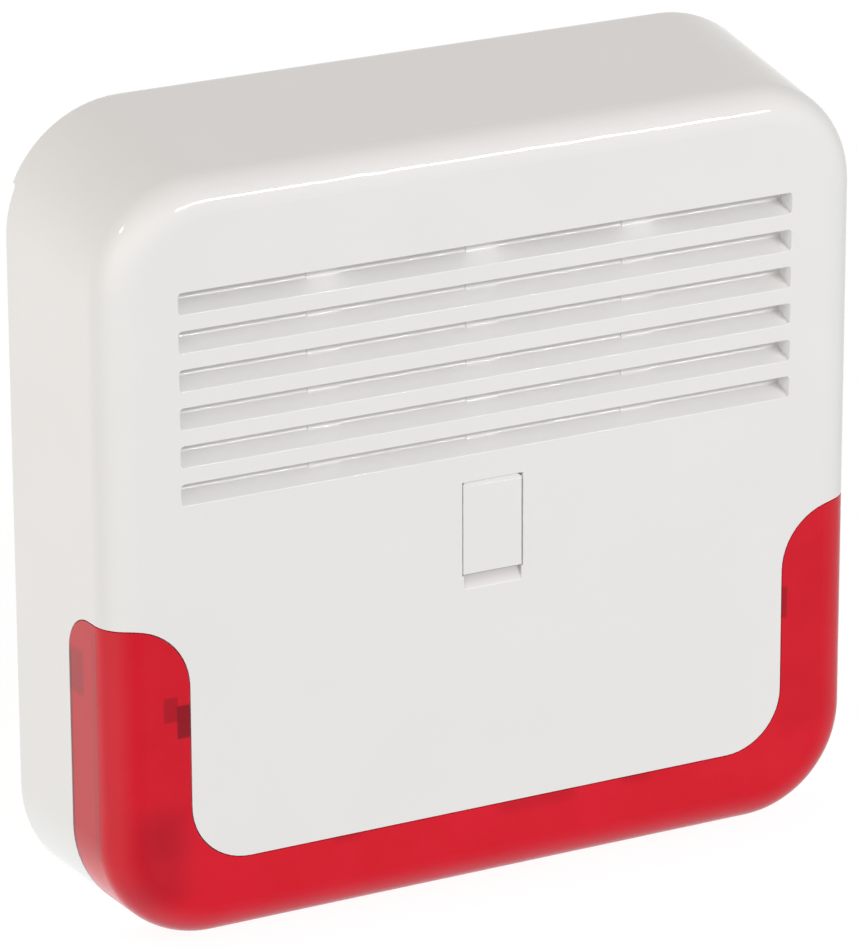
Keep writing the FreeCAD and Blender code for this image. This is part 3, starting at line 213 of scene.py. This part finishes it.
def shell_plastic():
    """Glossy white housing plastic, with painted light on the slats and painted shade, and duller
    gloss, in the notch.

    Both are there to match the photo, not because the plastic itself differs.
    """
    s = Shader("white_abs_gloss")
    colour = s.mix(s.uneven(TONE_SIZE), *shades(SHELL_WHITE, 0.006))
    # Painted light: the slats get a lighter white.
    colour = s.mix(s.within(*SLATS), colour, SLAT_PAINTED_LIGHT)
    notch = s.within(*NOTCH)
    notch_shade = s.between(s.axis("Z"), NOTCH_FOOT, NOTCH_TOP, SHADE_AT_FOOT, SHADE_AT_TOP)
    rough = s.uneven(GLOSS_SIZE, 0.072, 0.098)
    # Painted shade: grey in the notch under the flap.
    colour = s.mix(s.math("MULTIPLY", notch, notch_shade), colour, NOTCH_PAINTED_SHADE)
    s.set(Base_Color=colour, IOR=PLASTIC_IOR)
    s.set(Roughness=s.math("ADD", rough, s.math("MULTIPLY", notch, NOTCH_DULLNESS)))
    s.bump([(s.noise(0.012, 1.0), 4e-6), (s.noise(GRAIN_SIZE, 2.0), 0.4e-6)])
    return s.material


def metal(name, colour, rough, brushed=None):
    """Metal with uneven polish and fine scratches, drawn out along one axis if brushed."""
    s = Shader(name)
    tone = s.uneven(METAL_TONE_SIZE, detail=4.0, stretch=brushed)
    s.set(Base_Color=s.mix(tone, *shades(colour, 0.08)), Metallic=1.0)
    s.set(Roughness=s.uneven(POLISH_SIZE, rough * 0.7, rough * 1.3, stretch=brushed))
    s.bump([(s.noise(SCRATCH_SIZE, 2.0, brushed), 4e-6)])
    return s.material


# Darker places painted on the lens as painted shade, to match the photo: low corner, high corner,
# edge softness (all in mm) and how much of LENS_PAINTED_SHADOW they show.
LENS_PAINTED_SHADES = (
    # Painted shade at a mark beside the left side clip, then at the side clips and the rear clips.
    ((-114.4, -68, -51.5), (-109.6, -56, -43.4), 0.5, 0.34),
    ((-109.9, -68, -57.4), (-105.0, -56, -46.6), 0.4, 0.62),
    ((105.0, -68, -57.0), (107.4, -56, -46.5), 0.5, 0.40),
    ((-137.0, -48.5, -46.0), (-131.0, -36.0, -31.0), 1.0, 0.30),
    ((131.0, -48.5, -46.0), (137.0, -36.0, -31.0), 1.0, 0.30),
    # Painted shade on the lower left corner, the bends, the rear edge, the legs and the sides.
    ((-124.0, -70, -112.0), (-108.0, -55, -81.0), 6.0, 0.30),
    ((-140.0, -57.8, -98.0), (-129.0, -54.0, -22.0), 0.8, 0.15),
    ((129.0, -57.8, -98.0), (140.0, -54.0, -22.0), 0.8, 0.15),
    ((-140.0, -40.8, -140.0), (-125.0, -39.0, -33.0), 0.2, 0.55),
    ((125.0, -40.8, -140.0), (140.0, -39.0, -33.0), 0.2, 0.55),
    ((-131.0, -70, -97.0), (-104.0, -55, -15.0), 5.0, 0.08),
    ((104.0, -70, -97.0), (131.0, -55, -15.0), 5.0, 0.08),
    ((-140.0, -57, -140.0), (-131.0, -30, -15.0), 1.5, 0.19),
    ((131.0, -57, -140.0), (140.0, -30, -15.0), 1.5, 0.19),
    # Faint painted shade at the right inner corner and the bottom's middle, then at the bottom
    # clips.
    ((87.0, -70, -84.0), (92.0, -60, -76.0), 6.0, 0.16),
    ((2.0, -70, -104.5), (30.0, -60, -100.5), 2.5, 0.16),
    ((-57.0, -70, -103.0), (-47.0, -60, -99.5), 1.6, 0.16),
    ((47.0, -70, -103.0), (57.0, -60, -99.5), 1.6, 0.16),
)
LENS_REDS = ((0.86, 0.0050, 0.023), (0.90, 0.0070, 0.029))
# The colour that the painted shade on the lens darkens toward.
LENS_PAINTED_SHADOW = (0.10, 0.002, 0.008)


def red_lens():
    """Slightly frosted red polycarbonate that lets some light through, with painted shade in
    places.
    """
    s = Shader("red_polycarbonate")
    colour = s.mix(s.uneven(0.02), *LENS_REDS)
    # Painted shade: each listed place darkens the red toward the shadow colour.
    for low, high, soft, strength in LENS_PAINTED_SHADES:
        shade = s.math("MULTIPLY", s.within(low, high, soft), strength)
        colour = s.mix(shade, colour, LENS_PAINTED_SHADOW)
    s.set(Base_Color=colour, IOR=PLASTIC_IOR, Transmission_Weight=0.20)
    s.set(Roughness=s.uneven(0.01, 0.20, 0.25))
    s.bump([(s.noise(0.009, 1.0), 10e-6)])
    return s.material


def circuit_board():
    """Green solder mask, with the tracks below it as lighter raised lines."""
    s = Shader("solder_mask")
    tracks = s.add("ShaderNodeTexBrick", offset=0.37, squash=1.6, squash_frequency=3)
    turn = s.add("ShaderNodeMapping")
    turn.inputs["Rotation"].default_value = (math.radians(90), 0, 0)
    s.link(s.coords, turn.inputs["Vector"])
    s.link(turn.outputs[0], tracks.inputs["Vector"])
    for key, value in (("Scale", 60.0), ("Mortar Size", 0.028), ("Mortar Smooth", 0.15),
                       ("Color1", (0.012, 0.090, 0.035, 1)), ("Color2", (0.014, 0.105, 0.040, 1)),
                       ("Mortar", (0.030, 0.190, 0.075, 1))):
        tracks.inputs[key].default_value = value
    tone = s.between(s.noise(0.004, 3.0), 0.2, 0.8, 0.0, 0.35)
    mask = s.mix(tone, (0.01, 0.08, 0.03), (0.02, 0.14, 0.055))
    s.set(Base_Color=s.mix(0.6, mask, tracks.outputs["Color"]), IOR=PLASTIC_IOR)
    s.set(Roughness=s.uneven(0.002, 0.22, 0.36, detail=2.0))
    s.bump([(tracks.outputs["Fac"], 30e-6), (s.noise(SCRATCH_SIZE, 2.0), 3e-6)])
    return s.material


def clear(name, colour):
    """Clear plastic or liquid, with faint ripples."""
    s = Shader(name)
    tone = s.uneven(CLEAR_TONE_SIZE, detail=2.0)
    s.set(Base_Color=s.mix(tone, *shades(colour, 0.03)), IOR=ACRYLIC_IOR, Transmission_Weight=0.95)
    s.set(Roughness=s.uneven(RIPPLE_SIZE, 0.03, 0.06, detail=2.0))
    s.bump([(s.noise(RIPPLE_SIZE, 2.0), 3e-6)])
    return s.material


SLOTS = {
    "white_shell": shell_plastic(),
    "white_inner": plastic("white_abs_satin", (0.80, 0.795, 0.78), 0.38, 0.015, 6e-6),
    "red_lens": red_lens(),
    "steel": metal("zinc_plated_steel", (0.66, 0.66, 0.68), 0.30),
    "rubber": plastic("rubber", (0.018, 0.018, 0.019), 0.62, 0.15, 12e-6),
    "brass": metal("brass", (0.80, 0.58, 0.26), 0.28),
    "ceramic": plastic("piezo_ceramic", (0.74, 0.70, 0.60), 0.55, 0.05),
    "black_plastic": plastic("black_abs", (0.022, 0.022, 0.024), 0.40, 0.12, 8e-6),
    "zinc_sheet": metal("zinc_sheet", (0.62, 0.64, 0.66), 0.34, brushed=(0.12, 1.0, 1.0)),
    "board_green": circuit_board(),
    "terminal_blue": plastic("terminal_blue", (0.03, 0.13, 0.42), 0.34, 0.06),
    "relay_plastic": plastic("relay_case", (0.02, 0.02, 0.025), 0.22, 0.1),
    "can_sleeve": plastic("can_sleeve", (0.012, 0.016, 0.05), 0.24, 0.1),
    "ferrite": plastic("ferrite", (0.045, 0.045, 0.05), 0.50, 0.2, 10e-6),
    "chip_plastic": plastic("chip_epoxy", (0.018, 0.018, 0.02), 0.52, 0.15, 10e-6),
    "battery_case": plastic("battery_case", (0.045, 0.046, 0.052), 0.36, 0.1, 8e-6),
    "led_epoxy": clear("led_epoxy", (0.96, 0.93, 0.86)),
    "tear_plastic": plastic("tear_button", (0.52, 0.03, 0.02), 0.34, 0.05),
    "clear_plastic": clear("clear_acrylic", (0.93, 0.97, 0.97)),
    "level_fluid": clear("level_fluid", (0.62, 0.86, 0.06)),
    "wire_red": plastic("wire_red", (0.50, 0.015, 0.012), 0.42, 0.06),
    "wire_black": plastic("wire_black", (0.02, 0.02, 0.02), 0.42, 0.1),
}

for part in frame["record"]["subparts"]:
    mesh = frame["nodes"][part["node"]].data
    mesh.materials.clear()
    mesh.materials.append(SLOTS[part["material_slot"]])


# ------------------------------------------------------ small parts on the main board

# Rows of chip parts: the first one's place right of the board's lower left corner and above it,
# the step to the next (all in mm), how many there are, and whether they stand upright.
RESISTOR_ROWS = (
    ((10, 57), (6, 0), 6, False),
    ((10, 53), (6, 0), 4, False),
    ((46, 20), (0, 4), 4, True),
    ((19, 27), (5, 0), 3, False),
)
CAPACITOR_ROWS = (
    ((52, 29), (5, 0), 3, False),
    ((34, 53), (4.5, 0), 2, True),
    ((44, 36), (0, 4), 3, False),
    ((8, 42), (0, 3.5), 2, False),
)
# A chip part's length, width and height, the length of each metal end, and how much narrower and
# lower its body is than its ends, all in mm.
CHIP_LONG, CHIP_WIDE, CHIP_HIGH, CHIP_END = 2.0, 1.25, 0.6, 0.42
BODY_NARROWER, BODY_LOWER = 0.04, 0.03
# The rounding of bodies and ends, and the gap between a chip part and the board, in mm.
BODY_EDGE, END_EDGE = 0.04, 0.08
SOLDER_GAP = 0.01


def bevelled(name, blocks, edge, slot):
    """One mesh of blocks, each (low corner, high corner) in metres, with rounded edges."""
    shape = bmesh.new()
    for low, high in blocks:
        middle, size = (low + high) / 2, high - low
        place = Matrix.Translation(middle) @ Matrix.Diagonal((*size, 1.0))
        bmesh.ops.create_cube(shape, size=1.0, matrix=place)
    mesh = bpy.data.meshes.new(name)
    shape.to_mesh(mesh)
    shape.free()
    piece = bpy.data.objects.new(name, mesh)
    bpy.context.scene.collection.objects.link(piece)
    rounding = piece.modifiers.new("rounding", "BEVEL")
    rounding.width = edge
    rounding.segments = 2
    mesh.materials.append(SLOTS[slot])
    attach(piece, "base")


def chip_block(spot, along, start, end, wide, high):
    """Corners of a block on the board at a spot, which lies start to end along it, in mm."""
    across = Vector((along.z, 0, along.x)) * (wide * MM / 2)
    low = spot + along * (start * MM) - across - Vector((0, high * MM, 0))
    return low, spot + along * (end * MM) + across


def chip_parts():
    """Resistors and capacitors on the board's face, each a body between two metal ends."""
    corner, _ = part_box("main_board")
    reach, inner = CHIP_LONG / 2, CHIP_LONG / 2 - CHIP_END
    body_wide, body_high = CHIP_WIDE - BODY_NARROWER, CHIP_HIGH - BODY_LOWER
    ends = []
    for name, rows, slot in (("chip_resistors", RESISTOR_ROWS, "chip_plastic"),
                             ("chip_capacitors", CAPACITOR_ROWS, "ceramic")):
        bodies = []
        for (right, above), (step_right, step_up), count, upright in rows:
            along = Vector((0, 0, 1)) if upright else Vector((1, 0, 0))
            for i in range(count):
                spot = Vector((corner.x + (right + step_right * i) * MM,
                               corner.y - SOLDER_GAP * MM,
                               corner.z + (above + step_up * i) * MM))
                bodies.append(chip_block(spot, along, -inner, inner, body_wide, body_high))
                ends.append(chip_block(spot, along, -reach, -inner, CHIP_WIDE, CHIP_HIGH))
                ends.append(chip_block(spot, along, inner, reach, CHIP_WIDE, CHIP_HIGH))
        bevelled(name, bodies, BODY_EDGE * MM, slot)
    bevelled("chip_part_ends", ends, END_EDGE * MM, "steel")


chip_parts()


# ---------------------------------------------------------------- surroundings

# The floor in metres: its gap below the siren, the radius of its first ring, where it starts to
# bend up, the radius of the bend, and how high it ends. Then the number of steps in the bend and
# of sides round the floor.
FLOOR_GAP = 0.5 * MM
FLOOR_RING, FLOOR_FLAT, FLOOR_BEND, FLOOR_TOP = 1.0, 3.0, 2.0, 8.0
BEND_STEPS, FLOOR_SIDES = 10, 64
FLOOR_GREYS = ((0.115, 0.115, 0.115), (0.125, 0.125, 0.125))
FLOOR_GLOW = 0.93


def floor_mesh():
    """A flat round sheet that bends up all round into a wall."""
    level = cad_low.z - FLOOR_GAP
    rings = [(FLOOR_RING, level), (FLOOR_FLAT, level)]
    for step in range(1, BEND_STEPS + 1):
        angle = math.radians(90 * step / BEND_STEPS)
        rings.append((FLOOR_FLAT + FLOOR_BEND * math.sin(angle),
                      level + FLOOR_BEND - FLOOR_BEND * math.cos(angle)))
    rings.append((FLOOR_FLAT + FLOOR_BEND, level + FLOOR_TOP))
    verts = [(0.0, 0.0, level)]
    for radius, height in rings:
        for i in range(FLOOR_SIDES):
            angle = 2 * math.pi * i / FLOOR_SIDES
            verts.append((radius * math.cos(angle), radius * math.sin(angle), height))
    following = [(i + 1) % FLOOR_SIDES for i in range(FLOOR_SIDES)]
    faces = [(0, 1 + i, 1 + j) for i, j in enumerate(following)]
    for ring in range(len(rings) - 1):
        a = 1 + ring * FLOOR_SIDES
        b = a + FLOOR_SIDES
        faces += [(a + i, b + i, b + j, a + j) for i, j in enumerate(following)]
    mesh = bpy.data.meshes.new("floor")
    mesh.from_pydata(verts, [], faces)
    mesh.shade_smooth()
    return mesh


def floor():
    """Plain white floor under the siren that is its own backdrop.

    It glows evenly and only the camera sees it, so it neither tints nor shades the siren. The
    light from below comes from the world's lower side.
    """
    sheet = bpy.data.objects.new("floor", floor_mesh())
    bpy.context.scene.collection.objects.link(sheet)
    sheet.visible_diffuse = False
    sheet.visible_glossy = False
    sheet.visible_transmission = False
    sheet.visible_shadow = False
    s = Shader("pale_floor")
    s.set(Base_Color=s.mix(s.uneven(0.4, detail=2.0), *FLOOR_GREYS), Roughness=0.9)
    s.set(Emission_Color=(1, 1, 1, 1), Emission_Strength=FLOOR_GLOW, Specular_IOR_Level=0.0)
    sheet.data.materials.append(s.material)


def area_light(name, direction, distance, size, power, colour=(1, 1, 1)):
    """Rectangular light that faces the siren's middle from a direction."""
    data = bpy.data.lights.new(name, "AREA")
    data.shape = "RECTANGLE"
    data.size, data.size_y = size
    data.energy = power
    data.color = colour
    lamp = bpy.data.objects.new(name, data)
    away = Vector(direction).normalized()
    lamp.location = (cad_low + cad_high) / 2 + away * distance
    lamp.rotation_mode = "QUATERNION"
    lamp.rotation_quaternion = away.to_track_quat("Z", "Y")
    bpy.context.scene.collection.objects.link(lamp)


# Soft light from each side, strongest straight toward that side: direction, linear radiance.
WALLS = (
    ((1, 0, 0), (0.44, 0.45, 0.43)),
    ((-1, 0, 0), (0.73, 0.69, 0.65)),
    ((0, 1, 0), (1.23, 1.20, 1.16)),
    ((0, 0, -1), (0.70, 0.84, 0.90)),
)
# Wide patches of light in front: azimuth from straight ahead, elevation, radiance.
PATCHES = (
    (-60, 18, (1.18, 1.13, 1.08)),
    (-20, 18, (0.63, 0.65, 0.65)),
    (20, 18, (0.46, 0.44, 0.43)),
    (60, 18, (0.44, 0.42, 0.44)),
)
PATCH_SHARPNESS = 8.0


def toward(azimuth, elevation):
    """Unit vector toward an azimuth and elevation in degrees, from straight in front."""
    a, e = math.radians(azimuth), math.radians(elevation)
    return Vector((math.sin(a) * math.cos(e), -math.cos(a) * math.cos(e), math.sin(e)))


def surround():
    """World light that changes smoothly from side to side, as between a tent's walls."""
    world = bpy.data.worlds.new("studio")
    world.use_nodes = True
    tree = world.node_tree
    background = tree.nodes["Background"]
    direction = tree.nodes.new("ShaderNodeTexCoord").outputs["Generated"]

    def calculate(operation, a, b=None):
        node = tree.nodes.new("ShaderNodeMath")
        node.operation = operation
        tree.links.new(a, node.inputs[0])
        if isinstance(b, bpy.types.NodeSocket):
            tree.links.new(b, node.inputs[1])
        elif b is not None:
            node.inputs[1].default_value = b
        return node.outputs[0]

    def vector(operation):
        node = tree.nodes.new("ShaderNodeVectorMath")
        node.operation = operation
        return node

    def facing(side):
        node = vector("DOT_PRODUCT")
        node.inputs[1].default_value = side
        tree.links.new(direction, node.inputs[0])
        return node.outputs["Value"]

    terms = []
    for side, colour in WALLS:
        near = calculate("MAXIMUM", facing(side), 0.0)
        terms.append((calculate("MULTIPLY", near, near), colour))
    for azimuth, elevation, colour in PATCHES:
        off = calculate("SUBTRACT", facing(toward(azimuth, elevation)), 1.0)
        terms.append((calculate("EXPONENT", calculate("MULTIPLY", off, PATCH_SHARPNESS)), colour))
    total = None
    for weight, colour in terms:
        tint = vector("SCALE")
        tint.inputs[0].default_value = colour
        tree.links.new(weight, tint.inputs["Scale"])
        if total is not None:
            add = vector("ADD")
            tree.links.new(total, add.inputs[0])
            tree.links.new(tint.outputs[0], add.inputs[1])
            tint = add
        total = tint.outputs[0]
    tree.links.new(total, background.inputs["Color"])
    background.inputs["Strength"].default_value = 1.0
    bpy.context.scene.world = world


def studio():
    """The world's light, a thin strip high in front and a small lamp on the left."""
    surround()
    area_light("key", toward(22, 24.8), distance=4.4, size=(1.9, 0.10), power=78.0,
               colour=(0.96, 0.94, 0.93))
    area_light("left_spark", (-0.75, -0.05, 0.66), distance=1.4, size=(0.12, 0.12), power=0.6)


# Fitted to the photo: place in metres, direction and roll in degrees, lens in mm.
CAMERA_AT = Vector((-0.8818, -1.7056, 0.6821))
CAMERA_AZIMUTH, CAMERA_ELEVATION, CAMERA_ROLL = -27.678, 19.861, -0.227
CAMERA_LENS, CAMERA_SENSOR = 241.04, 36.0


def camera():
    """Long lens a little above the siren and to its left."""
    back = toward(CAMERA_AZIMUTH, CAMERA_ELEVATION)
    right = Vector((0, 0, 1)).cross(back).normalized()
    up = back.cross(right)
    roll = math.radians(CAMERA_ROLL)
    turned = right * math.cos(roll) + up * math.sin(roll)
    upright = back.cross(turned)
    data = bpy.data.cameras.new("camera")
    data.lens = CAMERA_LENS
    data.sensor_width = CAMERA_SENSOR
    data.clip_end = 100.0
    rig = bpy.data.objects.new("camera", data)
    rig.matrix_world = Matrix((
        (turned.x, upright.x, back.x, CAMERA_AT.x),
        (turned.y, upright.y, back.y, CAMERA_AT.y),
        (turned.z, upright.z, back.z, CAMERA_AT.z),
        (0, 0, 0, 1)))
    bpy.context.scene.collection.objects.link(rig)
    bpy.context.scene.camera = rig


floor()
studio()
camera()
bpy.context.scene.view_settings.view_transform = "Standard"
